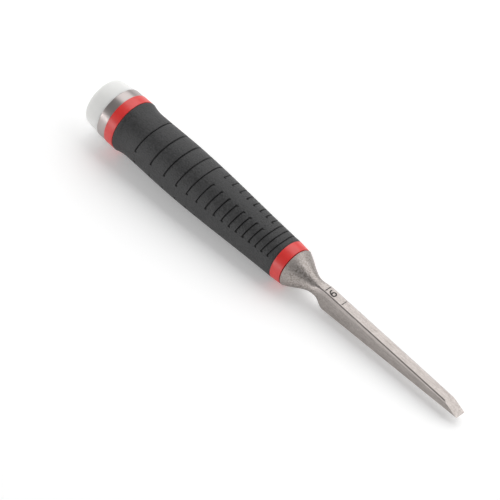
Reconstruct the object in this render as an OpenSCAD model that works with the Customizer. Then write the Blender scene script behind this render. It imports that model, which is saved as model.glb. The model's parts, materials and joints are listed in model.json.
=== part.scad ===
// Heavy-duty bench chisel with a through tang, lying on its handle with the flat back down.
// Stations are measured in millimetres along the handle axis, backwards from the cutting edge.

/* [Blade] */
// Width of the blade, which names the chisel's size
blade_width = 6; // [4:0.5:8]
// Depth of the cutting edge below the handle axis
edge_drop = 2.0; // [1:0.1:3]
// Angle of the end bevel
bevel_angle = 25; // [20:1:35]
// Height of the blade's top face above the axis, at the top of the bevel
bevel_rise = 2.6; // [2:0.1:3.5]
// Station of the heel, where the flat back ends
heel_station = 95.5; // [80:0.5:98]
// Depth of the flat back below the axis, at the heel
heel_drop = 8.2; // [6:0.1:9]
// Height of the top face above the axis, at the heel
heel_rise = 5.2; // [4:0.1:6]
// Width of the chamfer along each top edge
chamfer_w = 0.6; // [0.4:0.1:0.9]
// Height of that chamfer
chamfer_h = 0.52; // [0.4:0.02:0.7]
// How far the ground strip below each chamfer leans in at its top
strip_lean = 0.12; // [0.06:0.02:0.3]
// Depth of the strip's lower edge below the top face, at the bevel
strip_tip = 0.8; // [0.8:0.1:1.2]
// Depth of the strip's lower edge below the top face, at the heel
strip_heel = 2.6; // [1:0.1:3]

/* [Neck and tang] */
// Station of the neck, the thinnest round section
neck_station = 103.5; // [101:0.5:106]
// Radius of the neck
neck_r = 4.4; // [4:0.1:6]
// Station of the bolster's back face
bolster_station = 119.8; // [116:0.1:124]
// Radius of the bolster's rim
bolster_r = 11.3; // [10:0.1:12]
// Radius of the tang, which runs through the whole handle
tang_r = 4; // [3:0.5:5]

/* [Handle] */
// Length of the front collar
front_collar_len = 6.8; // [5:0.1:10]
// Radius of the handle where the soft grip begins
grip_front_r = 11.9; // [11.3:0.1:13]
// Station of the fullest part of the grip
belly_station = 207; // [200:0.5:212]
// Radius of the fullest part of the grip
belly_r = 14.9; // [14:0.1:15.5]
// Station of the slight waist in front of the rear flange
waist_station = 235.5; // [230:0.5:238]
// Radius of that waist
waist_r = 14.5; // [14:0.1:15]
// Station where the grip's flare reaches the flange
flange_station = 243; // [241:0.5:244]
// Radius of the flange and of the rear collar
flange_r = 15.7; // [15.3:0.1:17]
// Station of the soft grip's back face
grip_end = 244.1; // [244:0.1:250]
// Thickness of the soft grip over the core
grip_thick = 3.1; // [2:0.1:4]
// Length of the rear collar
rear_collar_len = 6.2; // [4:0.1:8]

/* [Grooves] */
// Number of grooves on each of the two faces of the grip
groove_count = 16; // [14:1:16]
// Station of the middle of the rearmost groove
groove_start = 225.8; // [222:0.1:228]
// Gap that every pair of grooves has at least
groove_gap = 3.9; // [3:0.1:3.9]
// Extra gap between the two rearmost grooves
groove_extra = 8.1; // [6:0.1:8.1]
// Share of the extra gap that each next pair keeps
groove_fade = 0.79; // [0.7:0.01:0.79]
// Width of a groove
groove_w = 0.8; // [0.5:0.1:1.2]
// Depth of a groove
groove_depth = 0.6; // [0.3:0.1:1]
// Lean of the grooves, whose middles lie further forward than their ends
groove_lean = 11; // [0:1:15]
// Half of the angle that the rearmost groove spans
groove_rear_half = 75; // [60:1:80]
// Half of the angle that the foremost groove spans
groove_front_half = 59; // [50:1:70]
// Half of the angle of the smooth field in the upper grooves
field_half = 16; // [8:1:24]
// First upper groove that the smooth field breaks
field_first = 5; // [4:1:6]
// Last upper groove that the smooth field breaks
field_last = 12; // [8:1:13]

/* [Striking end] */
// Thickness of the steel strike plate
plate_thick = 5.7; // [3:0.1:8]
// Radius of the strike plate
plate_r = 15.5; // [15.2:0.1:16]
// Length of the striking cap
cap_len = 12.2; // [11.5:0.1:18]
// Radius of the cap next to the plate
cap_r = 15.2; // [14.5:0.1:15.5]
// Radius that the cap tapers to at its end
cap_end_r = 14.1; // [13.5:0.1:14.5]
// Rounding of the cap's end edge
cap_round = 3.4; // [2:0.1:4]
// Radius of the plate's spigot, which the cap is pressed over
spigot_r = 12.2; // [11:0.1:13]
// Height of the spigot
spigot_h = 3.5; // [2:0.1:5]
// Width of the nut across its flats
nut_flats = 13; // [10:0.5:14]
// Thickness of the nut
nut_thick = 6.5; // [4:0.1:7]

/* [Hidden] */
$fn = 96;

// Stations of the joints in the stack
grip_start = bolster_station + front_collar_len;
plate_start = grip_end + rear_collar_len;
cap_start = plate_start + plate_thick;
butt = cap_start + cap_len;

// Clearances and edge breaks
edge_break = 0.4;
spigot_wall = 2.5;
nut_space = 1.5;
tang_proud = 1;
profile_step = 2;

// A curve from 0 to 1 with the start and end slopes given
function ease(t, start_slope, end_slope) =
    t * t * (3 - 2 * t) + start_slope * t * (1 - t) * (1 - t) + end_slope * t * t * (t - 1);

// Radius of the soft grip at a station: front swell, belly, waist and the flare to the flange
grip_front_slope = 0.6;
function grip_r(s) =
    s < belly_station ?
        grip_front_r + (belly_r - grip_front_r)
            * ease((s - grip_start) / (belly_station - grip_start), grip_front_slope, 0)
    : s < waist_station ?
        belly_r - (belly_r - waist_r) * ease((s - belly_station) / (waist_station - belly_station), 0, 0)
    : waist_r + (flange_r - waist_r)
        * pow(min(1, (s - waist_station) / (flange_station - waist_station)), 2);

// Radius of the core, which follows the grip but not its flange
function core_r(s) = min(grip_r(max(s, grip_start)), belly_r) - grip_thick;

// Stations from one to another, forwards or backwards, both included
function stations(from, to) =
    let (steps = ceil(abs(to - from) / profile_step))
    [for (i = [0 : steps]) from + (to - from) * i / steps];

// Gap after groove i, and the station of groove i
function gap_after(i) = groove_gap + groove_extra * pow(groove_fade, i);
function groove_station(i) = i == 0 ? groove_start : groove_station(i - 1) - gap_after(i - 1);
function groove_half(i) =
    groove_rear_half + (groove_front_half - groove_rear_half) * i / (groove_count - 1);

// The chisel rests on the front edge of the grip and on the swell behind it
rest_slope = max([for (s = stations(grip_start + profile_step, flange_station))
    (grip_r(s) - grip_front_r) / (s - grip_start)]);
rest_tilt = atan(rest_slope);
floor_z = grip_start * sin(rest_tilt) - grip_front_r * cos(rest_tilt);
tip_x = -edge_drop * sin(rest_tilt);
butt_x = -(butt - cap_round) * cos(rest_tilt) - (cap_end_r - cap_round) * sin(rest_tilt) - cap_round;
middle_x = (tip_x + butt_x) / 2;

// Lays the chisel down, tip towards +X, with the middle of its footprint at the origin
module laid() {
    translate([-middle_x, 0, -floor_z]) rotate([0, rest_tilt, 0]) children();
}

// Turns a profile of [radius, station] points about the handle axis
module turned(profile) {
    rotate([0, -90, 0]) rotate_extrude() polygon(profile);
}

// A round bar along the handle axis, between two stations
module bar(r, from, to) {
    translate([-from, 0, 0]) rotate([0, -90, 0]) cylinder(r = r, h = to - from);
}

// Height of the blade's top face and of its flat back at a station
bevel_station = (bevel_rise + edge_drop) / tan(bevel_angle);
function top_at(s) =
    bevel_rise + (heel_rise - bevel_rise) * (s - bevel_station) / (heel_station - bevel_station);
function back_at(s) = -edge_drop - (heel_drop - edge_drop) * s / heel_station;

// Corners of the blade at a station, as [side, height]: a bar whose two top edges are chamfered, with a
// ground strip below each chamfer
function blade_corners(s) =
    let (t = (s - bevel_station) / (heel_station - bevel_station),
         w = blade_width / 2,
         top = top_at(s),
         strip = strip_tip + (strip_heel - strip_tip) * t,
         lean = w - strip_lean,
         flat = lean - chamfer_w)
    [[w, back_at(s)], [w, top - strip], [lean, top - chamfer_h], [flat, top],
     [-flat, top], [-lean, top - chamfer_h], [-w, top - strip], [-w, back_at(s)]];

// The angle on the round neck that each corner runs out to, the points from each corner to the next,
// and how far the run-out stays inside the neck and reaches into it
corner_angles = [-60, 20, 50, 68, 112, 130, 160, 240, 300];
corner_points = [8, 3, 2, 4, 2, 3, 8, 6];
heel_reach = 0.8;
neck_step = 0.1;
neck_reach = 1;

// Ring of points round the blade at a station. Behind the heel it turns into the round neck.
function blade_ring(s) =
    let (t = max(0, min(1, (s - heel_station) / (neck_station - heel_station))),
         corners = blade_corners(min(s, heel_station)))
    [for (i = [0 : len(corners) - 1]) for (j = [0 : corner_points[i] - 1])
        let (k = j / corner_points[i],
             flat = corners[i] * (1 - k) + corners[(i + 1) % len(corners)] * k,
             a = corner_angles[i] * (1 - k) + corner_angles[i + 1] * k,
             round = (neck_r - neck_step) * [cos(a), sin(a)],
             low = max(0, -flat.y / heel_drop),
             rise = t + (ease(min(1, t / heel_reach), 0, 0) - t) * low)
        [-s, flat.x + (round.x - flat.x) * t * t, flat.y + (round.y - flat.y) * rise]];

// Skin through rings of points, closed at both ends
module lofted(rings) {
    count = len(rings[0]);
    last = len(rings) - 1;
    ends = [for (ring = [rings[0], rings[last]]) [for (p = ring) 1] * ring / count];
    first_middle = count * len(rings);
    polyhedron(points = concat([for (ring = rings) each ring], ends), faces = concat(
        [for (r = [0 : last - 1]) for (i = [0 : count - 1])
            let (n = (i + 1) % count, at = r * count)
            each [[at + i, at + n, at + count + n], [at + i, at + count + n, at + count + i]]],
        [for (i = [0 : count - 1]) [first_middle, (i + 1) % count, i]],
        [for (i = [0 : count - 1]) [first_middle + 1, last * count + i, last * count + (i + 1) % count]]));
}

// Bolster: a flare that is hollow next to the neck and full next to the rim
flare_start_slope = 0;
flare_end_slope = 0.75;
function flare_r(s) = neck_r + (bolster_r - neck_r)
    * ease((s - neck_station) / (bolster_station - neck_station), flare_start_slope, flare_end_slope);
rim_len = 1.5;

// Blade, neck, bolster and tang, one forging
run_out_steps = 8;
bevel_block = 40;
module blade() color("silver") laid() {
    difference() {
        lofted(concat([blade_ring(0)],
            [for (k = [0 : run_out_steps])
                blade_ring(heel_station + (neck_station - heel_station) * k / run_out_steps)],
            [blade_ring(neck_station + neck_reach)]));
        translate([0, 0, -edge_drop]) rotate([0, bevel_angle, 0])
            translate([-bevel_block / 2, -bevel_block / 2, 0]) cube(bevel_block);
    }
    turned(concat([[0, neck_station]],
        [for (s = stations(neck_station, bolster_station - rim_len)) [flare_r(s), s]],
        [[bolster_r, bolster_station - edge_break], [bolster_r - edge_break, bolster_station],
         [0, bolster_station]]));
    bar(tang_r, bolster_station, cap_start + nut_thick + tang_proud);
}

// Red collar between the bolster and the soft grip
module front_collar() color("firebrick") laid()
    turned([[core_r(grip_start), bolster_station], [bolster_r - edge_break, bolster_station],
            [bolster_r, bolster_station + edge_break], [grip_front_r, grip_start],
            [core_r(grip_start), grip_start]]);

// Hard core moulded round the tang
module handle_core() color("dimgray") laid()
    turned(concat([[tang_r, bolster_station], [core_r(bolster_station), bolster_station]],
        [for (s = stations(grip_start, grip_end)) [core_r(s), s]],
        [[core_r(grip_end), plate_start], [tang_r, plate_start]]));

// One groove across the grip, between two angles from the top. It leans forward at the top,
// or at the bottom where the lean is negative.
module groove(station, lean, from, to) {
    centre = station + grip_r(station) * sin(abs(lean));
    translate([-centre, 0, 0]) rotate([0, lean - 90, 0]) rotate([0, 0, from])
        rotate_extrude(angle = to - from)
            translate([grip_r(centre) - groove_depth, -groove_w / 2]) square([2 * groove_depth, groove_w]);
}

// Soft grip moulded over the core
module grip_sleeve() color([0.16, 0.16, 0.17]) laid() difference() {
    turned(concat([[core_r(grip_start), grip_start]],
        [for (s = stations(grip_start, flange_station)) [grip_r(s), s]],
        [[flange_r, grip_end]],
        [for (s = stations(grip_end, grip_start)) [core_r(s), s]]));
    for (i = [0 : groove_count - 1]) {
        groove(groove_station(i), -groove_lean, 180 - groove_half(i), 180 + groove_half(i));
        if (i < field_first || i > field_last)
            groove(groove_station(i), groove_lean, -groove_half(i), groove_half(i));
        else for (side = [-1, 1])
            groove(groove_station(i), groove_lean, side > 0 ? field_half : -groove_half(i),
                   side > 0 ? groove_half(i) : -field_half);
    }
}

// Red collar behind the soft grip
module rear_collar() color("firebrick") laid()
    turned([[core_r(grip_end), grip_end], [flange_r, grip_end], [flange_r, plate_start - edge_break],
            [flange_r - edge_break, plate_start], [core_r(grip_end), plate_start]]);

// Steel plate that takes the blows, with the spigot that holds the cap
module strike_plate() color("gray") laid()
    turned([[tang_r, plate_start], [plate_r - edge_break, plate_start], [plate_r, plate_start + edge_break],
            [plate_r, cap_start - edge_break], [plate_r - edge_break, cap_start], [spigot_r, cap_start],
            [spigot_r, cap_start + spigot_h], [spigot_r - spigot_wall, cap_start + spigot_h],
            [spigot_r - spigot_wall, cap_start], [tang_r, cap_start]]);

// Nut on the tang's threaded end
module tang_nut() color("darkgray") laid()
    translate([-cap_start, 0, 0]) rotate([0, -90, 0]) difference() {
        cylinder(r = nut_flats / sqrt(3), h = nut_thick, $fn = 6);
        translate([0, 0, -nut_thick]) cylinder(r = tang_r, h = 3 * nut_thick);
    }

// White striking cap, hollow over the nut
cap_round_steps = 8;
module strike_cap() color("whitesmoke") laid()
    turned(concat([[spigot_r, cap_start], [cap_r, cap_start]],
        [for (i = [0 : cap_round_steps]) let (a = 90 * i / cap_round_steps)
            [cap_end_r - cap_round + cap_round * cos(a), butt - cap_round + cap_round * sin(a)]],
        [[0, butt], [0, cap_start + nut_thick + nut_space],
         [spigot_r - spigot_wall, cap_start + nut_thick + nut_space],
         [spigot_r - spigot_wall, cap_start + spigot_h], [spigot_r, cap_start + spigot_h]]));

blade();
front_collar();
handle_core();
grip_sleeve();
rear_collar();
strike_plate();
tang_nut();
strike_cap();
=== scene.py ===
import json
import math

import bmesh
import bpy
from mathutils import Matrix, Vector


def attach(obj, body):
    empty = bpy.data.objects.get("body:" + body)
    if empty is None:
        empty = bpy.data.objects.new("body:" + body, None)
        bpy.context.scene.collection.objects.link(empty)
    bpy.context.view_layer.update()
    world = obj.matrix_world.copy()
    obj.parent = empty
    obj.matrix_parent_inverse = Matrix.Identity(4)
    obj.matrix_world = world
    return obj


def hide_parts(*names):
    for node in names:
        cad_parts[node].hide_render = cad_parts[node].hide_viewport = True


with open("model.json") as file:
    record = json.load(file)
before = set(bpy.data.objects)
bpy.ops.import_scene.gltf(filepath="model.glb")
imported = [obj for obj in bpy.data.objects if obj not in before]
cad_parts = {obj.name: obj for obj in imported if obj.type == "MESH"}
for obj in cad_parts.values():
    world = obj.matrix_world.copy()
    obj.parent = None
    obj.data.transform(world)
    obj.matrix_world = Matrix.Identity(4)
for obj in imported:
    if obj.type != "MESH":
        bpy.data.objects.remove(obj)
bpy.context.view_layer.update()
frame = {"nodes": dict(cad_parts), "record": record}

# Blade, neck, bolster and tang
# One forging of chrome-vanadium steel. The blade's faces are ground on a belt and then blasted, the
# neck and bolster keep the skin of the die up to the matt rim, and the tang runs to a nut.
MM = 0.001
strike_face = next(m for m in frame["record"]["mounts"] if m["name"] == "strike_face")
butt = Vector(strike_face["pos_m"])
forward = -Vector(strike_face["axis"]).normalized()
sideways = Vector((0, 1, 0))
upward = forward.cross(sideways)
edge_to_butt = max((v.co - butt).dot(forward) for v in frame["nodes"]["blade"].data.vertices)

# Millimetres along the handle axis, with the cutting edge at 0 and the butt at minus its station,
# to metres in the part's frame
chisel = Matrix((forward, sideways, upward)).transposed().to_4x4() @ Matrix.Scale(MM, 4)
chisel.translation = butt + forward * edge_to_butt
to_stations = chisel.inverted()


def reach(node):
    """First and last station of a CAD node, in millimetres back from the cutting edge."""
    stations = [-(to_stations @ v.co).x for v in frame["nodes"][node].data.vertices]
    return min(stations), max(stations)


def ease(t, start_slope=0, end_slope=0):
    """A curve from 0 to 1 with the start and end slopes given."""
    return t * t * (3 - 2 * t) + start_slope * t * (1 - t) ** 2 + end_slope * t * t * (t - 1)


def between(first, last, steps):
    """Evenly spaced numbers from first to last, both included."""
    return [first + (last - first) * k / steps for k in range(steps + 1)]


blade_width = 6
edge_drop = 2.0
bevel_angle = math.radians(25)
bevel_rise = 2.6
heel_station, heel_drop, heel_rise = 95.5, 8.2, 5.2
chamfer_w, chamfer_h = 0.6, 0.52
strip_lean, strip_tip, strip_heel = 0.12, 0.8, 2.6
neck_station, neck_r = 103.5, 4.4
bolster_r = 11.3
flare_end_slope = 0.75
tang_r = 4
heel_reach = 0.8
bevel_station = (bevel_rise + edge_drop) / math.tan(bevel_angle)
bolster_station = reach("front_collar")[0]
tang_end = reach("blade")[1]

# How far the ground edges are broken, how pale they and the faces after them are painted, partly as
# rubbed wear and partly as a painted highlight on the strips and lower chamfer edges, how many points
# each break and each face has, and the angle on the neck that each edge runs out to. All go round from
# the lower right edge, over a strip, the chamfers and the top, to the back.
edge_break = (0.12, 0.14, 0.08, 0.08, 0.08, 0.08, 0.14, 0.12)
edge_wear_and_highlight = (0.6, 0.3, 0.5, 0.3, 0.3, 0.5, 0.3, 0.6)
strip_wear_and_highlight = (0, 0.3, 0, 0, 0, 0.3, 0, 0)
break_steps = 6
flat_points = (20, 8, 5, 10, 5, 8, 20, 14)
neck_angles = (-60, 20, 50, 68, 112, 130, 160, 240, 300)
break_angle = 3


def softened(corners, breaks, steps):
    """The corners of a closed outline, each as the points of a short curve that rounds it."""
    curves = []
    for i, corner in enumerate(corners):
        before = (corners[i - 1] - corner).normalized() * breaks[i]
        after = (corners[(i + 1) % len(corners)] - corner).normalized() * breaks[i]
        shares = between(0, 1, steps)
        curves.append([corner + before * (1 - u) ** 2 + after * u ** 2 for u in shares])
    return curves


def top_at(station):
    """Height of the blade's top face at a station."""
    along = (station - bevel_station) / (heel_station - bevel_station)
    return bevel_rise + (heel_rise - bevel_rise) * along


def blade_ring(station):
    """Points round the blade. Behind the heel the section turns into the round neck."""
    t = max(0, min(1, (station - heel_station) / (neck_station - heel_station)))
    along = (min(station, heel_station) - bevel_station) / (heel_station - bevel_station)
    back = -edge_drop - (heel_drop - edge_drop) * min(station, heel_station) / heel_station
    top = top_at(min(station, heel_station))
    half = blade_width / 2
    strip = strip_tip + (strip_heel - strip_tip) * along
    lean = half - strip_lean
    right = [(half, back), (half, top - strip), (lean, top - chamfer_h), (lean - chamfer_w, top)]
    corners = [Vector(p) for p in right] + [Vector((-y, z)) for y, z in reversed(right)]
    curves = softened(corners, edge_break, break_steps)
    ring = []
    for i, curve in enumerate(curves):
        following = curves[(i + 1) % len(curves)]
        flat = [curve[-1].lerp(following[0], u) for u in between(0, 1, flat_points[i])[1:-1]]
        edge_start, edge_end = neck_angles[i] - break_angle, neck_angles[i] + break_angle
        turns = between(edge_start, edge_end, break_steps)
        turns += between(edge_end, neck_angles[i + 1] - break_angle, flat_points[i])[1:-1]
        for point, turn in zip(curve + flat, turns):
            neck = neck_r * Vector((math.cos(math.radians(turn)), math.sin(math.radians(turn))))
            low = max(0, -point.y / heel_drop)
            rise = t + (ease(min(1, t / heel_reach)) - t) * low
            side = point.x + (neck.x - point.x) * t * t
            ring.append((-station, side, point.y + (neck.y - point.y) * rise))
    return ring


def round_ring(station, radius):
    """The neck's ring of points, drawn out to another radius."""
    wider = radius / neck_r
    return [(-station, y * wider, z * wider) for _, y, z in blade_ring(neck_station)]


def flare_r(station):
    """Radius of the bolster's flare, hollow next to the neck and full next to the rim."""
    t = (station - neck_station) / (bolster_station - neck_station)
    return neck_r + (bolster_r - neck_r) * ease(t, end_slope=flare_end_slope)


# The rings start ahead of the cutting edge, so that the bevel cuts through whole sections
ahead_of_edge = 2
rim_round = 0.45
rim_top = bolster_station - rim_round
flare_end = rim_top - rim_round
blade_steps, run_out_steps, flare_steps, rim_steps = 16, 20, 24, 6
rings = [blade_ring(s) for s in between(-ahead_of_edge, heel_station, blade_steps)]
rings += [blade_ring(s) for s in between(heel_station, neck_station, run_out_steps)[1:]]
rings += [round_ring(s, flare_r(s)) for s in between(neck_station, flare_end, flare_steps)[1:]]
for turn in between(0, math.pi / 2, rim_steps):
    radius = bolster_r - rim_round * (1 - math.cos(turn))
    rings.append(round_ring(rim_top + rim_round * math.sin(turn), radius))
rings += [round_ring(s, tang_r) for s in (bolster_station, tang_end)]

# Ground edges and strips are painted pale along the blade, partly as wear and partly as a painted
# highlight, less so where they run out into the neck
ring_wear_and_highlight = [
    edge_wear_and_highlight[i] if k <= break_steps else strip_wear_and_highlight[i]
    for i in range(len(flat_points))
    for k in range(break_steps + flat_points[i])
]
run_out = neck_station - heel_station
wear_and_highlight = [
    bright * max(0, min(1, (neck_station + run_out / 2 + ring[0][0]) / run_out))
    for ring in rings
    for bright in ring_wear_and_highlight
]


def lofted(name, rings, closed_ends=True):
    """A mesh through rings of points, in the chisel's millimetres."""
    count = len(rings[0])
    last = (len(rings) - 1) * count
    quads = [
        (start + i, start + (i + 1) % count, start + count + (i + 1) % count, start + count + i)
        for start in range(0, last, count)
        for i in range(count)
    ]
    ends = [tuple(range(count)), tuple(range(last, last + count))] if closed_ends else []
    mesh = bpy.data.meshes.new(name)
    mesh.from_pydata([p for ring in rings for p in ring], [], quads + ends)
    return mesh


def finished(mesh, material, sharp_angle=40, merge_distance=0.002):
    """Closes seams and poles, turns faces outwards, shades the mesh and puts it in the part's frame."""
    form = bmesh.new()
    form.from_mesh(mesh)
    bmesh.ops.remove_doubles(form, verts=form.verts, dist=merge_distance)
    bmesh.ops.delete(form, geom=[e for e in form.edges if e.is_wire], context="EDGES")
    bmesh.ops.recalc_face_normals(form, faces=form.faces)
    form.to_mesh(mesh)
    form.free()
    mesh.transform(chisel)
    mesh.shade_smooth()
    mesh.set_sharp_from_angle(angle=math.radians(sharp_angle))
    mesh.materials.append(material)
    made = bpy.data.objects.new(mesh.name, mesh)
    bpy.context.scene.collection.objects.link(made)
    return made


def linear(hex_colour):
    """Linear RGBA of an sRGB hex colour."""
    parts = [int(hex_colour[i : i + 2], 16) / 255 for i in (1, 3, 5)]
    return [p / 12.92 if p <= 0.04045 else ((p + 0.055) / 1.055) ** 2.4 for p in parts] + [1]


def add(tree, kind, inputs=(), **settings):
    """Adds a node with its settings. An input takes a value, a socket or a node's first output."""
    node = tree.nodes.new(kind)
    for name, value in settings.items():
        setattr(node, name, value)
    for key, value in inputs.items() if isinstance(inputs, dict) else enumerate(inputs):
        if isinstance(value, bpy.types.Node):
            value = value.outputs[0]
        if isinstance(value, bpy.types.NodeSocket):
            tree.links.new(value, node.inputs[key])
        elif value is not None:
            node.inputs[key].default_value = value
    return node


def new_material(name):
    """An empty node material and its tree."""
    material = bpy.data.materials.new(name)
    material.use_nodes = True
    material.node_tree.nodes.clear()
    return material, material.node_tree


# Chrome-vanadium steel, belt ground and blasted: a warm satin grey with faint lines along the blade,
# a mottled skin on the forged neck and bolster, and a matt rim. The lines are coarser than real grit.
grind_spacing, grind_length = 0.45, 9
mottle_size, relief_depth = 0.8, 0.16
blade_steel, tree = new_material("ground_chrome_vanadium_steel")
coords = add(tree, "ShaderNodeTexCoord")
tilt = math.atan2(-forward.z, forward.x)
in_line = add(tree, "ShaderNodeMapping", {
    "Vector": coords.outputs["Object"], "Rotation": (0, -tilt, 0)})
stretch = [1 / (size * MM) for size in (grind_length, grind_spacing, grind_spacing)]
lines_at = add(tree, "ShaderNodeMapping", {"Vector": in_line, "Scale": stretch})
lines = add(tree, "ShaderNodeTexNoise", {
    "Vector": lines_at, "Scale": 1, "Detail": 3, "Roughness": 0.6})
mottle = add(tree, "ShaderNodeTexNoise", {
    "Vector": coords.outputs["Object"], "Scale": 1 / (mottle_size * MM),
    "Detail": 4, "Roughness": 0.65})
x_along = add(tree, "ShaderNodeSeparateXYZ", {"Vector": coords.outputs["Object"]})
rim_length = 2.5
rim_edge = bolster_station - rim_length
skin_edges = (heel_station, neck_station, rim_edge, rim_edge - rim_length)
skin_x = [(chisel @ Vector((-s, 0, 0))).x for s in skin_edges]
unground = add(tree, "ShaderNodeMapRange", {0: x_along.outputs["X"], 1: skin_x[0], 2: skin_x[1]})
off_rim = add(tree, "ShaderNodeMapRange", {0: x_along.outputs["X"], 1: skin_x[2], 2: skin_x[3]})
forged = add(tree, "ShaderNodeMath", (unground, off_rim), operation="MULTIPLY")
blasted = add(tree, "ShaderNodeMapRange", {0: forged, 3: 0.6, 4: 1})
grain = add(tree, "ShaderNodeMix", {"Factor": blasted, 2: lines, 3: mottle}, data_type="FLOAT")
tone = add(tree, "ShaderNodeMapRange", {0: grain, 1: 0.36, 2: 0.64})
hollows = add(tree, "ShaderNodeMix", {
    "Factor": forged, 6: linear("#908985"), 7: linear("#837C77")}, data_type="RGBA")
ground = add(tree, "ShaderNodeMix", {
    "Factor": tone, 6: hollows.outputs[2], 7: linear("#BDB6B2")}, data_type="RGBA")
# Pale steel painted on the broken edges and strips: partly rubbed wear, partly a painted highlight
wear_and_highlight_mask = add(tree, "ShaderNodeAttribute", attribute_name="wear_and_highlight")
colour = add(tree, "ShaderNodeMix", {
    "Factor": wear_and_highlight_mask.outputs["Fac"], 6: ground.outputs[2], 7: linear("#CFC7C4")}, data_type="RGBA")
smoothest = add(tree, "ShaderNodeMapRange", {0: forged, 3: 0.3, 4: 0.34})
roughest = add(tree, "ShaderNodeMapRange", {0: forged, 3: 0.4, 4: 0.5})
satin = add(tree, "ShaderNodeMapRange", {0: grain, 1: 0.3, 2: 0.7, 3: smoothest, 4: roughest})
rim_matt = add(tree, "ShaderNodeMapRange", {0: off_rim, 3: 0.22, 4: 0})
roughness = add(tree, "ShaderNodeMath", (satin, rim_matt), operation="ADD")
relief = add(tree, "ShaderNodeMapRange", {0: forged, 3: 0.35, 4: 0.8})
bump = add(tree, "ShaderNodeBump", {
    "Strength": relief, "Distance": relief_depth * MM, "Height": grain})
shader = add(tree, "ShaderNodeBsdfPrincipled", {
    "Base Color": colour.outputs[2], "Metallic": 1, "Roughness": roughness, "Normal": bump})
add(tree, "ShaderNodeOutputMaterial", {"Surface": shader})

blade_mesh = lofted("ground_blade", rings)
blade_mesh.attributes.new("wear_and_highlight", "FLOAT", "POINT").data.foreach_set("value", wear_and_highlight)
form = bmesh.new()
form.from_mesh(blade_mesh)
bevel_normal = Vector((math.sin(bevel_angle), 0, math.cos(bevel_angle)))
cut_tolerance = 1e-5
cut = bmesh.ops.bisect_plane(
    form, geom=form.verts[:] + form.edges[:] + form.faces[:], dist=cut_tolerance,
    plane_co=(0, 0, -edge_drop), plane_no=bevel_normal, clear_outer=True)
rim = [e for e in cut["geom_cut"] if isinstance(e, bmesh.types.BMEdge)]
bevel = bmesh.ops.contextual_create(form, geom=rim)["faces"]
bmesh.ops.poke(form, faces=bevel)
form.to_mesh(blade_mesh)
form.free()
blade = finished(blade_mesh, blade_steel, sharp_angle=20)
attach(blade, "root")
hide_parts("blade")

# Size mark
# The blade's width in millimetres between two cross lines, burnt on by laser near the heel as a dark
# oxide film. It is read with the edge pointing down.
mark_station, mark_side, mark_width, film = 92.6, -0.25, 0.78, 0.02
line_stations, line_half, line_width = (84.6, 96.4), 1.9, 0.45
loop_low, loop_r, stem_r, stem_mid = -0.8, (1.25, 1.15), (1.75, 2.7), 0.5
stem_from, stem_to, stem_steps, loop_steps = 68, 180, 16, 36
stem_turns = [math.radians(a) for a in between(stem_from, stem_to, stem_steps)]
loop_turns = [math.radians(a) for a in between(stem_to, stem_to + 360, loop_steps)[1:]]
figure = [(stem_mid + stem_r[0] * math.cos(a), loop_low + stem_r[1] * math.sin(a)) for a in stem_turns]
figure += [(loop_r[0] * math.cos(a), loop_low + loop_r[1] * math.sin(a)) for a in loop_turns]
strokes = [([Vector((mark_station + up, mark_side + right)) for right, up in figure], mark_width)]
strokes += [([Vector((s, -line_half)), Vector((s, line_half))], line_width) for s in line_stations]


def stroke_rings(points, width):
    """Sections of a thin film along a line of (station, side) points on the blade's top face."""
    rings = []
    for i, point in enumerate(points):
        along = points[min(i + 1, len(points) - 1)] - points[max(i - 1, 0)]
        across = Vector((-along.y, along.x)).normalized() * width / 2
        edges = (point - across, point + across)
        low = [(-e.x, e.y, top_at(e.x) - film) for e in edges]
        high = [(-e.x, e.y, top_at(e.x) + film) for e in edges]
        rings.append(low + high[::-1])
    return rings


# Laser-darkened steel: a brown-black oxide, slightly uneven and satin.
blotch_size = 0.5
oxide, tree = new_material("laser_darkened_steel")
coords = add(tree, "ShaderNodeTexCoord")
blotch = add(tree, "ShaderNodeTexNoise", {
    "Vector": coords.outputs["Object"], "Scale": 1 / (blotch_size * MM), "Detail": 3})
colour = add(tree, "ShaderNodeMix", {
    "Factor": blotch, 6: linear("#14100F"), 7: linear("#332B29")}, data_type="RGBA")
shader = add(tree, "ShaderNodeBsdfPrincipled", {"Base Color": colour.outputs[2], "Roughness": 0.55})
add(tree, "ShaderNodeOutputMaterial", {"Surface": shader})

form = bmesh.new()
for points, width in strokes:
    form.from_mesh(lofted("stroke", stroke_rings(points, width)))
mark_mesh = bpy.data.meshes.new("size_mark")
form.to_mesh(mark_mesh)
form.free()
size_mark = finished(mark_mesh, oxide)
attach(size_mark, "root")

# Front collar
# A red moulded ring of hard plastic between the bolster and the soft grip. It is squeezed in place
# when the nut draws the tang, and a fine shadow gap shows on both sides of it.


def turned(name, corners, material, turns=192, steps=6):
    """A ring turned about the handle axis from (station, radius, rounding) corners of its section."""
    flat = [Vector((station, radius)) for station, radius, _ in corners]
    section = [p for curve in softened(flat, [c[2] for c in corners], steps) for p in curve]
    angles = between(0, 2 * math.pi, turns)[:-1]
    ring = [[(-p.x, p.y * math.sin(a), p.y * math.cos(a)) for p in section] for a in angles]
    return finished(lofted(name, ring + ring[:1], closed_ends=False), material)


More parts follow.
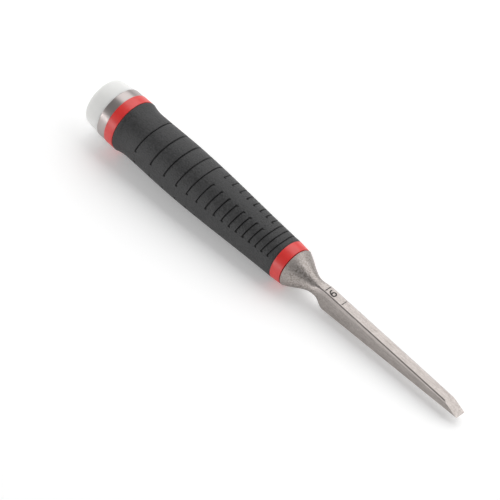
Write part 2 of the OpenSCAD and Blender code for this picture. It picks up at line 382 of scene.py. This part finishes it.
# Glass-filled polyamide, moulded and dyed through: an even signal red with a soft sheen and the
# slight unevenness of a moulded skin.
skin_size, skin_depth = 2.5, 0.05
red_plastic, tree = new_material("moulded_red_polyamide")
coords = add(tree, "ShaderNodeTexCoord")
skin = add(tree, "ShaderNodeTexNoise", {
    "Vector": coords.outputs["Object"], "Scale": 1 / (skin_size * MM), "Detail": 2})
cloud = add(tree, "ShaderNodeMapRange", {0: skin, 1: 0.3, 2: 0.7})
colour = add(tree, "ShaderNodeMix", {
    "Factor": cloud, 6: linear("#DA1C17"), 7: linear("#E2231D")}, data_type="RGBA")
sheen = add(tree, "ShaderNodeMapRange", {0: skin, 1: 0.3, 2: 0.7, 3: 0.34, 4: 0.4})
bump = add(tree, "ShaderNodeBump", {
    "Strength": 0.05, "Distance": skin_depth * MM, "Height": skin})
shader = add(tree, "ShaderNodeBsdfPrincipled", {
    "Base Color": colour.outputs[2], "Roughness": sheen, "IOR": 1.53,
    "Specular IOR Level": 0.8, "Normal": bump})
add(tree, "ShaderNodeOutputMaterial", {"Surface": shader})

collar_front, grip_start = reach("front_collar")
grip_front_r = 11.9
collar_bore = 8.8
seam, seam_floor, seam_lip = 0.4, 1.4, 1.2
inner_break, outer_break, grip_break = 0.1, 0.3, 0.25
front_ring = turned("red_front_ring", [
    (collar_front, collar_bore, inner_break),
    (collar_front, bolster_r - seam_floor, inner_break),
    (collar_front + seam, bolster_r - seam_lip, inner_break),
    (collar_front + seam, bolster_r, outer_break),
    (grip_start, grip_front_r, grip_break),
    (grip_start, collar_bore, inner_break)], red_plastic)
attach(front_ring, "root")
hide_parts("front_collar")

# Handle core
# A hard tube moulded round the tang, which carries the collars and the soft grip. It is hidden
# inside the finished handle.
# Black polyamide with the dull, slightly cloudy skin of a moulding that is never seen.
dull_size = 2
core_plastic, tree = new_material("moulded_black_polyamide")
coords = add(tree, "ShaderNodeTexCoord")
skin = add(tree, "ShaderNodeTexNoise", {
    "Vector": coords.outputs["Object"], "Scale": 1 / (dull_size * MM), "Detail": 3})
colour = add(tree, "ShaderNodeMix", {
    "Factor": skin, 6: linear("#232325"), 7: linear("#2E2E30")}, data_type="RGBA")
shader = add(tree, "ShaderNodeBsdfPrincipled", {"Base Color": colour.outputs[2], "Roughness": 0.55})
add(tree, "ShaderNodeOutputMaterial", {"Surface": shader})
core = frame["nodes"]["handle_core"]
core.data.materials.clear()
core.data.materials.append(core_plastic)

# Soft grip
# A sleeve of soft elastomer moulded over the core. Bowed grooves cross its upper and lower faces,
# closer together towards the front, each with hooked ends, round a smooth field on top.
grip_end = reach("grip_sleeve")[1]
grip_sizes = {
    "Outer rows": 316, "Inner rows": 9, "Columns": 288, "Rows per gap": 17, "Rear rows": 38,
    "Start": grip_start, "End": grip_end, "Wall": 3.1,
    "Front radius": grip_front_r, "Belly station": 207.0, "Belly radius": 14.9,
    "Waist station": 235.5, "Waist radius": 14.5, "Flange station": 243.0, "Flange radius": 15.7,
    "Groove count": 16, "First groove": 225.8, "Gap": 3.9, "Extra gap": 8.1, "Fade": 0.79,
    "Width": 0.62, "Soft edge": 0.13, "Depth": 0.75, "Bow": 2.2, "Hook": 0.6,
    "Rear half angle": math.radians(75), "Front half angle": math.radians(59),
    "Field half angle": math.radians(16), "Field first": 5, "Field last": 12, "Rim": 0.45,
}

# Thermoplastic elastomer with a fine matt texture from the mould, drawn coarser than it is: charcoal
# that scatters light softly, with painted shade that makes it nearly black down in the grooves.
pebble_size, pebble_depth, cloud_size = 0.9, 0.45, 4
soft_grip, tree = new_material("matt_black_elastomer")
coords = add(tree, "ShaderNodeTexCoord")
pebble = add(tree, "ShaderNodeTexNoise", {
    "Vector": coords.outputs["Object"], "Scale": 1 / (pebble_size * MM), "Detail": 2})
cloud = add(tree, "ShaderNodeTexNoise", {
    "Vector": coords.outputs["Object"], "Scale": 1 / (cloud_size * MM), "Detail": 3})
tone = add(tree, "ShaderNodeMix", {"Factor": 0.3, 2: pebble, 3: cloud}, data_type="FLOAT")
spread = add(tree, "ShaderNodeMapRange", {0: tone, 1: 0.38, 2: 0.62})
colour = add(tree, "ShaderNodeMix", {
    "Factor": spread, 6: linear("#1A1A1B"), 7: linear("#343435")}, data_type="RGBA")
# Painted shade: the depth of the groove's cut darkens the colour to near-black in the grooves
groove = add(tree, "ShaderNodeAttribute", attribute_name="groove")
dark = add(tree, "ShaderNodeMix", {
    "Factor": groove.outputs["Fac"], 6: colour.outputs[2], 7: linear("#070707")}, data_type="RGBA")
matt = add(tree, "ShaderNodeMapRange", {0: tone, 1: 0.38, 2: 0.62, 3: 0.5, 4: 0.62})
bump = add(tree, "ShaderNodeBump", {
    "Strength": 1, "Distance": pebble_depth * MM, "Height": pebble})
shader = add(tree, "ShaderNodeBsdfPrincipled", {
    "Base Color": dark.outputs[2], "Roughness": matt, "Specular IOR Level": 0.6, "Normal": bump})
add(tree, "ShaderNodeOutputMaterial", {"Surface": shader})

# The sleeve is a grid of rows along the axis and columns round it. Rows crowd together at each
# groove, follow its bow, and turn back inside the sleeve to close it.
tree = bpy.data.node_groups.new("Grooved sleeve", "GeometryNodeTree")
whole_numbers = ("Outer rows", "Inner rows", "Columns", "Rear rows")
for name in grip_sizes:
    kind = "NodeSocketInt" if name in whole_numbers else "NodeSocketFloat"
    tree.interface.new_socket(name=name, in_out="INPUT", socket_type=kind)
tree.interface.new_socket(name="Material", in_out="INPUT", socket_type="NodeSocketMaterial")
tree.interface.new_socket(name="Sleeve", in_out="OUTPUT", socket_type="NodeSocketGeometry")
size = add(tree, "NodeGroupInput").outputs
math_node = "ShaderNodeMath"

all_rows = add(tree, math_node, (size["Outer rows"], size["Inner rows"]), operation="ADD")
grid = add(tree, "GeometryNodeMeshGrid", {
    "Size X": 1, "Size Y": 1, "Vertices X": all_rows, "Vertices Y": size["Columns"]})
place = add(tree, "ShaderNodeSeparateXYZ", {0: add(tree, "GeometryNodeInputPosition")})
last_row = add(tree, math_node, (all_rows, 1), operation="SUBTRACT")
share = add(tree, math_node, (place.outputs["X"], 0.5), operation="ADD")
row = add(tree, math_node, (share, last_row), operation="MULTIPLY")
angle = add(tree, math_node, (place.outputs["Y"], 2 * math.pi), operation="MULTIPLY")

# Number of the nearest groove, and the row's place among the grooves once rows crowd at them. Behind
# the first groove they are evenly close, for the flange.
crowding = 0.12
rear_crowding = 2.6
past_rear = add(tree, math_node, (row, size["Rear rows"]), operation="SUBTRACT")
rear_part = add(tree, math_node, (past_rear, 0), operation="MINIMUM")
front_part = add(tree, math_node, (past_rear, 0), operation="MAXIMUM")
rear_finer = add(tree, math_node, (rear_part, 1 / rear_crowding, front_part), operation="MULTIPLY_ADD")
gaps = add(tree, math_node, (rear_finer, size["Rows per gap"]), operation="DIVIDE")
count = add(tree, math_node, (gaps, 0.5), operation="SUBTRACT")
nearest = add(tree, math_node, (count,), operation="ROUND")
stray = add(tree, math_node, (count, nearest), operation="SUBTRACT")
square = add(tree, math_node, (stray, stray), operation="MULTIPLY")
pull = add(tree, math_node, (square, 4 * (1 - crowding), crowding), operation="MULTIPLY_ADD")
crowded = add(tree, math_node, (stray, pull, nearest), operation="MULTIPLY_ADD")
at_groove = add(tree, math_node, (past_rear, 0), operation="GREATER_THAN")
row_count = add(tree, "ShaderNodeMix", {"Factor": at_groove, 2: count, 3: crowded}, data_type="FLOAT")

# Station of a row and of its groove: the gaps shrink towards the front by a constant share
lines = []
for number in (row_count, nearest):
    kept = add(tree, math_node, (size["Fade"], number), operation="POWER")
    spent = add(tree, math_node, (1, kept), operation="SUBTRACT")
    loss = add(tree, math_node, (1, size["Fade"]), operation="SUBTRACT")
    extra = add(tree, math_node, (spent, loss), operation="DIVIDE")
    extra_length = add(tree, math_node, (extra, size["Extra gap"]), operation="MULTIPLY")
    length = add(tree, math_node, (number, size["Gap"], extra_length), operation="MULTIPLY_ADD")
    lines.append(add(tree, math_node, (size["First groove"], length), operation="SUBTRACT"))
row_line, groove_line = lines
ahead = add(tree, math_node, (groove_line, row_line), operation="SUBTRACT")

# Angle from the middle of the upper or lower face, and the bow that draws the rows back at the
# sides. The bow fades out within a gap of the first and the last groove.
turn = add(tree, math_node, (angle,), operation="ABSOLUTE")
turn_below = add(tree, math_node, (math.pi, turn), operation="SUBTRACT")
off_middle = add(tree, math_node, (turn, turn_below), operation="MINIMUM")
upper = add(tree, math_node, (turn, math.pi / 2), operation="LESS_THAN")
wide = add(tree, math_node, (off_middle, size["Rear half angle"]), operation="DIVIDE")
bow_power = 1.5
curve = add(tree, math_node, (wide, bow_power), operation="POWER")
rear_fade = add(tree, "ShaderNodeMapRange", {
    0: row_count, 1: -1.0, 2: -0.3}, interpolation_type="SMOOTHSTEP")
last_groove = add(tree, math_node, (size["Groove count"], 1), operation="SUBTRACT")
past_last = add(tree, math_node, (row_count, last_groove), operation="SUBTRACT")
front_fade = add(tree, "ShaderNodeMapRange", {
    0: past_last, 1: 0.75, 2: 0.2}, interpolation_type="SMOOTHSTEP")
fade = add(tree, math_node, (rear_fade, front_fade), operation="MULTIPLY")
bow = add(tree, math_node, (curve, size["Bow"]), operation="MULTIPLY")
outer_line = add(tree, math_node, (bow, fade, row_line), operation="MULTIPLY_ADD")
outer_station = add(tree, "ShaderNodeClamp", (outer_line, size["Start"], size["End"]))

# Rows past the outer ones run back inside the sleeve, and the last one meets the first
past_outer = add(tree, math_node, (row, size["Outer rows"]), operation="SUBTRACT")
inside = add(tree, math_node, (past_outer, -0.5), operation="GREATER_THAN")
inner_steps = add(tree, math_node, (size["Inner rows"], 2), operation="SUBTRACT")
inner_share = add(tree, math_node, (past_outer, inner_steps), operation="DIVIDE")
inner_station = add(tree, "ShaderNodeMapRange", {0: inner_share, 3: size["Start"], 4: size["End"]})
station = add(tree, "ShaderNodeMix", {
    "Factor": inside, 2: outer_station, 3: inner_station}, data_type="FLOAT")
closing_row = add(tree, math_node, (last_row, 0.5), operation="SUBTRACT")
before_close = add(tree, math_node, (row, closing_row), operation="LESS_THAN")
inner_row = add(tree, math_node, (inside, before_close), operation="MULTIPLY")

# Radius at a station: a front swell up to the belly, a slight waist, the flare to the flange, and a
# broken rim at both ends
along = add(tree, "ShaderNodeMapRange", {0: station, 1: size["Start"], 2: size["Belly station"]})
swell = add(tree, "ShaderNodeMapRange", {
    0: station, 1: size["Start"], 2: size["Belly station"]}, interpolation_type="SMOOTHSTEP")
left_over = add(tree, math_node, (1, along), operation="SUBTRACT")
left_square = add(tree, math_node, (left_over, left_over), operation="MULTIPLY")
early = add(tree, math_node, (along, left_square), operation="MULTIPLY")
front_slope = 0.6
front_share = add(tree, math_node, (early, front_slope, swell), operation="MULTIPLY_ADD")
growth = add(tree, math_node, (size["Belly radius"], size["Front radius"]), operation="SUBTRACT")
front_r = add(tree, math_node, (front_share, growth, size["Front radius"]), operation="MULTIPLY_ADD")
to_waist = add(tree, "ShaderNodeMapRange", {
    0: station, 1: size["Belly station"], 2: size["Waist station"]}, interpolation_type="SMOOTHSTEP")
drop = add(tree, math_node, (size["Waist radius"], size["Belly radius"]), operation="SUBTRACT")
waist_r = add(tree, math_node, (to_waist, drop, front_r), operation="MULTIPLY_ADD")
to_flange = add(tree, "ShaderNodeMapRange", {
    0: station, 1: size["Waist station"], 2: size["Flange station"]})
flare = add(tree, math_node, (to_flange, to_flange), operation="MULTIPLY")
lip = add(tree, math_node, (size["Flange radius"], size["Waist radius"]), operation="SUBTRACT")
full_r = add(tree, math_node, (flare, lip, waist_r), operation="MULTIPLY_ADD")
from_start = add(tree, math_node, (station, size["Start"]), operation="SUBTRACT")
to_end = add(tree, math_node, (size["End"], station), operation="SUBTRACT")
to_rim = add(tree, math_node, (from_start, to_end), operation="MINIMUM")
rim_drop = add(tree, "ShaderNodeMapRange", {0: to_rim, 2: size["Rim"], 3: size["Rim"], 4: 0})
outer_r = add(tree, math_node, (full_r, rim_drop), operation="SUBTRACT")
inner_r = add(tree, math_node, (waist_r, size["Wall"]), operation="SUBTRACT")
skin_r = add(tree, "ShaderNodeMix", {"Factor": inner_row, 2: outer_r, 3: inner_r}, data_type="FLOAT")

# Distance from the groove's line, its hooked outer ends and the hooks beside the smooth field
rear_half, front_half = size["Rear half angle"], size["Front half angle"]
narrowing = add(tree, math_node, (front_half, rear_half), operation="SUBTRACT")
groove_share = add(tree, math_node, (nearest, last_groove), operation="DIVIDE")
half = add(tree, math_node, (groove_share, narrowing, rear_half), operation="MULTIPLY_ADD")
past_end = add(tree, math_node, (off_middle, half), operation="SUBTRACT")
past_end_mm = add(tree, math_node, (past_end, outer_r), operation="MULTIPLY")
field_start = add(tree, math_node, (size["Field first"], 0.5), operation="SUBTRACT")
field_stop = add(tree, math_node, (size["Field last"], 0.5), operation="ADD")
from_first = add(tree, math_node, (nearest, field_start), operation="GREATER_THAN")
to_last = add(tree, math_node, (nearest, field_stop), operation="LESS_THAN")
at_field = add(tree, math_node, (from_first, to_last), operation="MULTIPLY")
broken = add(tree, math_node, (at_field, upper), operation="MULTIPLY")
into_field = add(tree, math_node, (size["Field half angle"], off_middle), operation="SUBTRACT")
into_field_mm = add(tree, math_node, (into_field, outer_r), operation="MULTIPLY")
far_away = -100
field_mm = add(tree, "ShaderNodeMix", {
    "Factor": broken, 2: far_away, 3: into_field_mm}, data_type="FLOAT")
past_ends = add(tree, math_node, (past_end_mm, field_mm), operation="MAXIMUM")
overrun = add(tree, math_node, (past_ends, 0), operation="MAXIMUM")
behind = add(tree, math_node, (ahead, -1), operation="MULTIPLY")
past_hook = add(tree, math_node, (ahead, size["Hook"]), operation="SUBTRACT")
beyond_hook = add(tree, math_node, (behind, past_hook), operation="MAXIMUM")
off_hook = add(tree, math_node, (beyond_hook, 0), operation="MAXIMUM")
distances = [
    add(tree, "ShaderNodeVectorMath", {0: add(tree, "ShaderNodeCombineXYZ", pair)},
        operation="LENGTH").outputs["Value"]
    for pair in ((overrun, ahead), (past_end_mm, off_hook), (field_mm, off_hook))
]
to_hooks = add(tree, math_node, distances[1:], operation="MINIMUM")
distance = add(tree, math_node, (distances[0], to_hooks), operation="MINIMUM")

# A groove has soft lips, and there is none behind the first or ahead of the last
half_width = add(tree, math_node, (size["Width"], 0.5), operation="MULTIPLY")
lip_out = add(tree, math_node, (half_width, size["Soft edge"]), operation="ADD")
lip_in = add(tree, math_node, (half_width, size["Soft edge"]), operation="SUBTRACT")
hollow = add(tree, "ShaderNodeMapRange", {
    0: distance, 1: lip_out, 2: lip_in}, interpolation_type="SMOOTHSTEP")
after_first = add(tree, math_node, (nearest, -0.5), operation="GREATER_THAN")
before_last = add(tree, math_node, (past_last, 0.5), operation="LESS_THAN")
real = add(tree, math_node, (after_first, before_last), operation="MULTIPLY")
outside = add(tree, math_node, (1, inside), operation="SUBTRACT")
allowed = add(tree, math_node, (real, outside), operation="MULTIPLY")
cut = add(tree, math_node, (hollow, allowed), operation="MULTIPLY")
depth = add(tree, math_node, (cut, size["Depth"]), operation="MULTIPLY")
radius = add(tree, math_node, (skin_r, depth), operation="SUBTRACT")

sine = add(tree, math_node, (angle,), operation="SINE")
cosine = add(tree, math_node, (angle,), operation="COSINE")
position = add(tree, "ShaderNodeCombineXYZ", (
    add(tree, math_node, (station, -1), operation="MULTIPLY"),
    add(tree, math_node, (radius, sine), operation="MULTIPLY"),
    add(tree, math_node, (radius, cosine), operation="MULTIPLY")))
# The depth of each groove's cut is stored for the material, which paints shade into the grooves
marked = add(tree, "GeometryNodeStoreNamedAttribute", {
    "Geometry": grid, "Name": "groove", "Value": cut})
shaped = add(tree, "GeometryNodeSetPosition", {"Geometry": marked, "Position": position})
seam_distance = 0.004
closed = add(tree, "GeometryNodeMergeByDistance", {"Geometry": shaped, "Distance": seam_distance})
realized = add(tree, "GeometryNodeRealizeInstances", (closed,))
dressed = add(tree, "GeometryNodeSetMaterial", {"Geometry": realized, "Material": size["Material"]})
add(tree, "NodeGroupOutput", (dressed,))

pattern = bpy.data.objects.new("sleeve_pattern", bpy.data.meshes.new("sleeve_pattern"))
bpy.context.scene.collection.objects.link(pattern)
modifier = pattern.modifiers.new("Grooved sleeve", "NODES")
modifier.node_group = tree
for item in tree.interface.items_tree:
    if item.in_out == "INPUT":
        modifier[item.identifier] = grip_sizes.get(item.name, soft_grip)
evaluated = pattern.evaluated_get(bpy.context.evaluated_depsgraph_get())
grip_mesh = bpy.data.meshes.new_from_object(evaluated)
grip_mesh.name = "grooved_grip"
bpy.data.objects.remove(pattern)
grip_mesh.materials.clear()
grip = finished(grip_mesh, soft_grip)
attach(grip, "root")
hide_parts("grip_sleeve")

# Rear collar
# The second red ring, moulded from the same polyamide as the front one. The nut clamps it between the
# flange of the grip and the steel plate.
collar_end = reach("rear_collar")[1]
flange_r = grip_sizes["Flange radius"]
rear_bore = 11.8
plate_break = 0.35
rear_ring = turned("red_rear_ring", [
    (grip_end, rear_bore, inner_break),
    (grip_end, flange_r, grip_break),
    (collar_end, flange_r, plate_break),
    (collar_end, rear_bore, inner_break)], red_plastic)
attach(rear_ring, "root")
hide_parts("rear_collar")

# Strike plate
# A turned steel disc that spreads the blows from the cap into the tang. Its rim shows as a polished
# band, and a spigot on its back holds the cap.
# Bright turned steel: sharp reflections drawn out slightly by fine tool lines round the rim.
line_spacing, line_depth = 0.3, 0.02
plate_steel, tree = new_material("polished_turned_steel")
coords = add(tree, "ShaderNodeTexCoord")
along_axis = add(tree, "ShaderNodeMapping", {
    "Vector": coords.outputs["Object"], "Rotation": (0, -tilt, 0),
    "Scale": (1 / (line_spacing * MM), 0, 0)})
tool_lines = add(tree, "ShaderNodeTexNoise", {"Vector": along_axis, "Scale": 1, "Detail": 2})
polish = add(tree, "ShaderNodeMapRange", {0: tool_lines, 1: 0.3, 2: 0.7, 3: 0.29, 4: 0.37})
colour = add(tree, "ShaderNodeMix", {
    "Factor": tool_lines, 6: linear("#A39B99"), 7: linear("#B7AFAD")}, data_type="RGBA")
bump = add(tree, "ShaderNodeBump", {
    "Strength": 0.1, "Distance": line_depth * MM, "Height": tool_lines})
shader = add(tree, "ShaderNodeBsdfPrincipled", {
    "Base Color": colour.outputs[2], "Metallic": 1, "Roughness": polish, "Normal": bump})
add(tree, "ShaderNodeOutputMaterial", {"Surface": shader})

cap_start, cap_end = reach("strike_cap")
plate_r = 15.5
spigot_r, spigot_h, spigot_wall = 12.2, 3.5, 2.5
plate = turned("polished_plate", [
    (collar_end, tang_r, inner_break),
    (collar_end, plate_r, outer_break),
    (cap_start, plate_r, outer_break),
    (cap_start, spigot_r, inner_break),
    (cap_start + spigot_h, spigot_r, outer_break),
    (cap_start + spigot_h, spigot_r - spigot_wall, outer_break),
    (cap_start, spigot_r - spigot_wall, inner_break),
    (cap_start, tang_r, inner_break)], plate_steel)
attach(plate, "root")
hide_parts("strike_plate")

# Tang nut
# A hexagon nut of machined steel on the threaded end of the tang. It holds the whole stack together
# and is hidden under the cap.
# Zinc-plated steel: pale, with the cloudy bloom of a passivated coat.
bloom_size = 2.5
zinc, tree = new_material("zinc_plated_steel")
coords = add(tree, "ShaderNodeTexCoord")
bloom = add(tree, "ShaderNodeTexNoise", {
    "Vector": coords.outputs["Object"], "Scale": 1 / (bloom_size * MM), "Detail": 4})
colour = add(tree, "ShaderNodeMix", {
    "Factor": bloom, 6: linear("#A4A6AA"), 7: linear("#C3C4C6")}, data_type="RGBA")
shader = add(tree, "ShaderNodeBsdfPrincipled", {
    "Base Color": colour.outputs[2], "Metallic": 1, "Roughness": 0.35})
add(tree, "ShaderNodeOutputMaterial", {"Surface": shader})
nut = frame["nodes"]["tang_nut"]
nut.data.materials.clear()
nut.data.materials.append(zinc)

# Striking cap
# A white cap of tough plastic pressed over the plate's spigot. It takes the hammer, so its end edge
# is well rounded, and it is hollow over the nut.
# Natural polyamide: white with a little light passing through it, and a soft moulded sheen.
haze_size, haze_depth, scatter_length = 3, 0.05, 3
cap_plastic, tree = new_material("natural_white_polyamide")
coords = add(tree, "ShaderNodeTexCoord")
haze = add(tree, "ShaderNodeTexNoise", {
    "Vector": coords.outputs["Object"], "Scale": 1 / (haze_size * MM), "Detail": 3})
colour = add(tree, "ShaderNodeMix", {
    "Factor": haze, 6: linear("#E8E8E6"), 7: linear("#EEEEEC")}, data_type="RGBA")
bump = add(tree, "ShaderNodeBump", {
    "Strength": 0.08, "Distance": haze_depth * MM, "Height": haze})
shader = add(tree, "ShaderNodeBsdfPrincipled", {
    "Base Color": colour.outputs[2], "Roughness": 0.42, "IOR": 1.53,
    "Specular IOR Level": 0.3, "Normal": bump, "Subsurface Weight": 1,
    "Subsurface Radius": (1, 1, 1), "Subsurface Scale": scatter_length * MM})
add(tree, "ShaderNodeOutputMaterial", {"Surface": shader})

cap_r, cap_end_r, cap_round = 15.2, 14.1, 3.4
nut_space = 8
cap = turned("white_cap", [
    (cap_start, spigot_r, inner_break),
    (cap_start, cap_r, outer_break),
    (cap_end, cap_end_r, cap_round),
    (cap_end, 0, 0),
    (cap_start + nut_space, 0, 0),
    (cap_start + nut_space, spigot_r - spigot_wall, outer_break),
    (cap_start + spigot_h, spigot_r - spigot_wall, inner_break),
    (cap_start + spigot_h, spigot_r, inner_break)], cap_plastic)
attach(cap, "root")
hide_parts("strike_cap")

# Floor, light and camera
# A plain white table under one broad overhead softbox, with a low one at the left, in a grey room
# whose walls are white low down. The table adds a little white of its own, more further out, which
# the steel sees too, and keeps the shadow.
floor_half = 20
floor_corners = [(x * floor_half, y * floor_half, 0) for x, y in ((-1, -1), (1, -1), (1, 1), (-1, 1))]
floor_mesh = bpy.data.meshes.new("floor")
floor_mesh.from_pydata(floor_corners, [], [(0, 1, 2, 3)])
floor = bpy.data.objects.new("floor", floor_mesh)
bpy.context.scene.collection.objects.link(floor)
paper, tree = new_material("white_table")
rays = add(tree, "ShaderNodeLightPath").outputs
seen = add(tree, math_node, (rays["Is Camera Ray"], rays["Is Glossy Ray"]), operation="MAXIMUM")
seen = add(tree, math_node, (seen, rays["Is Transmission Ray"]), operation="MAXIMUM")
place = add(tree, "ShaderNodeTexCoord").outputs["Object"]
far = add(tree, "ShaderNodeVectorMath", {0: place}, operation="LENGTH").outputs["Value"]
near_m, far_m, near_white, far_white = 0.3, 2.5, 0.25, 0.8
white = add(tree, "ShaderNodeMapRange", {0: far, 1: near_m, 2: far_m, 3: near_white, 4: far_white})
lift = add(tree, math_node, (seen, white), operation="MULTIPLY")
matt_white = add(tree, "ShaderNodeBsdfDiffuse", {"Color": linear("#F4F4F4")})
glow = add(tree, "ShaderNodeEmission", {"Color": (1, 1, 1, 1), "Strength": lift})
both = add(tree, "ShaderNodeAddShader", (matt_white, glow))
add(tree, "ShaderNodeOutputMaterial", {"Surface": both})
floor_mesh.materials.append(paper)

world = bpy.data.worlds.new("grey_room")
world.use_nodes = True
world.node_tree.nodes.clear()
tree = world.node_tree
direction = add(tree, "ShaderNodeTexCoord").outputs["Generated"]
height = add(tree, "ShaderNodeSeparateXYZ", {0: direction}).outputs["Z"]
white_below, grey_above, wall_white, room_grey = 0.08, 0.25, 1, 0.32
backdrop = add(tree, "ShaderNodeMapRange", {
    0: height, 1: white_below, 2: grey_above, 3: wall_white, 4: room_grey},
    interpolation_type="SMOOTHSTEP")
room = add(tree, "ShaderNodeBackground", {"Color": (1, 1, 1, 1), "Strength": backdrop})
add(tree, "ShaderNodeOutputWorld", {"Surface": room})
bpy.context.scene.world = world


def towards(azimuth, elevation):
    """Unit vector towards a compass direction from +X, in degrees."""
    a, e = math.radians(azimuth), math.radians(elevation)
    return Vector((math.cos(a) * math.cos(e), math.sin(a) * math.cos(e), math.sin(e)))


softboxes = {
    "overhead_softbox": {"towards": (90, 55), "distance": 1.5, "size": (5.2, 1.6), "radiance": 1.5},
    "left_softbox": {"towards": (-120, 6), "distance": 1.6, "size": (2.8, 0.3), "radiance": 2.8},
}
for name, box in softboxes.items():
    panel = bpy.data.lights.new(name, "AREA")
    panel.shape = "RECTANGLE"
    panel.size, panel.size_y = box["size"]
    panel.energy = box["radiance"] * math.pi * panel.size * panel.size_y
    softbox = bpy.data.objects.new(name, panel)
    facing = towards(*box["towards"])
    softbox.location = facing * box["distance"]
    softbox.rotation_euler = facing.to_track_quat("Z", "Y").to_euler()
    softbox.visible_camera = False
    bpy.context.scene.collection.objects.link(softbox)

lens = bpy.data.cameras.new("photo_camera")
lens.sensor_width = 36
lens.lens = 216
camera = bpy.data.objects.new("photo_camera", lens)
azimuth, elevation, roll = (math.radians(a) for a in (40.34, 47.25, 7.8))
aim = Vector((-15.97, -1.55, 0)) * MM
camera_distance = 1567.6 * MM
look = (Matrix.Rotation(azimuth, 4, "Z") @ Matrix.Rotation(math.pi / 2 - elevation, 4, "X")
        @ Matrix.Rotation(roll, 4, "Z"))
camera.matrix_world = Matrix.Translation(aim + look @ Vector((0, 0, camera_distance))) @ look
bpy.context.scene.collection.objects.link(camera)
bpy.context.scene.camera = camera
bpy.context.scene.view_settings.view_transform = "Standard"
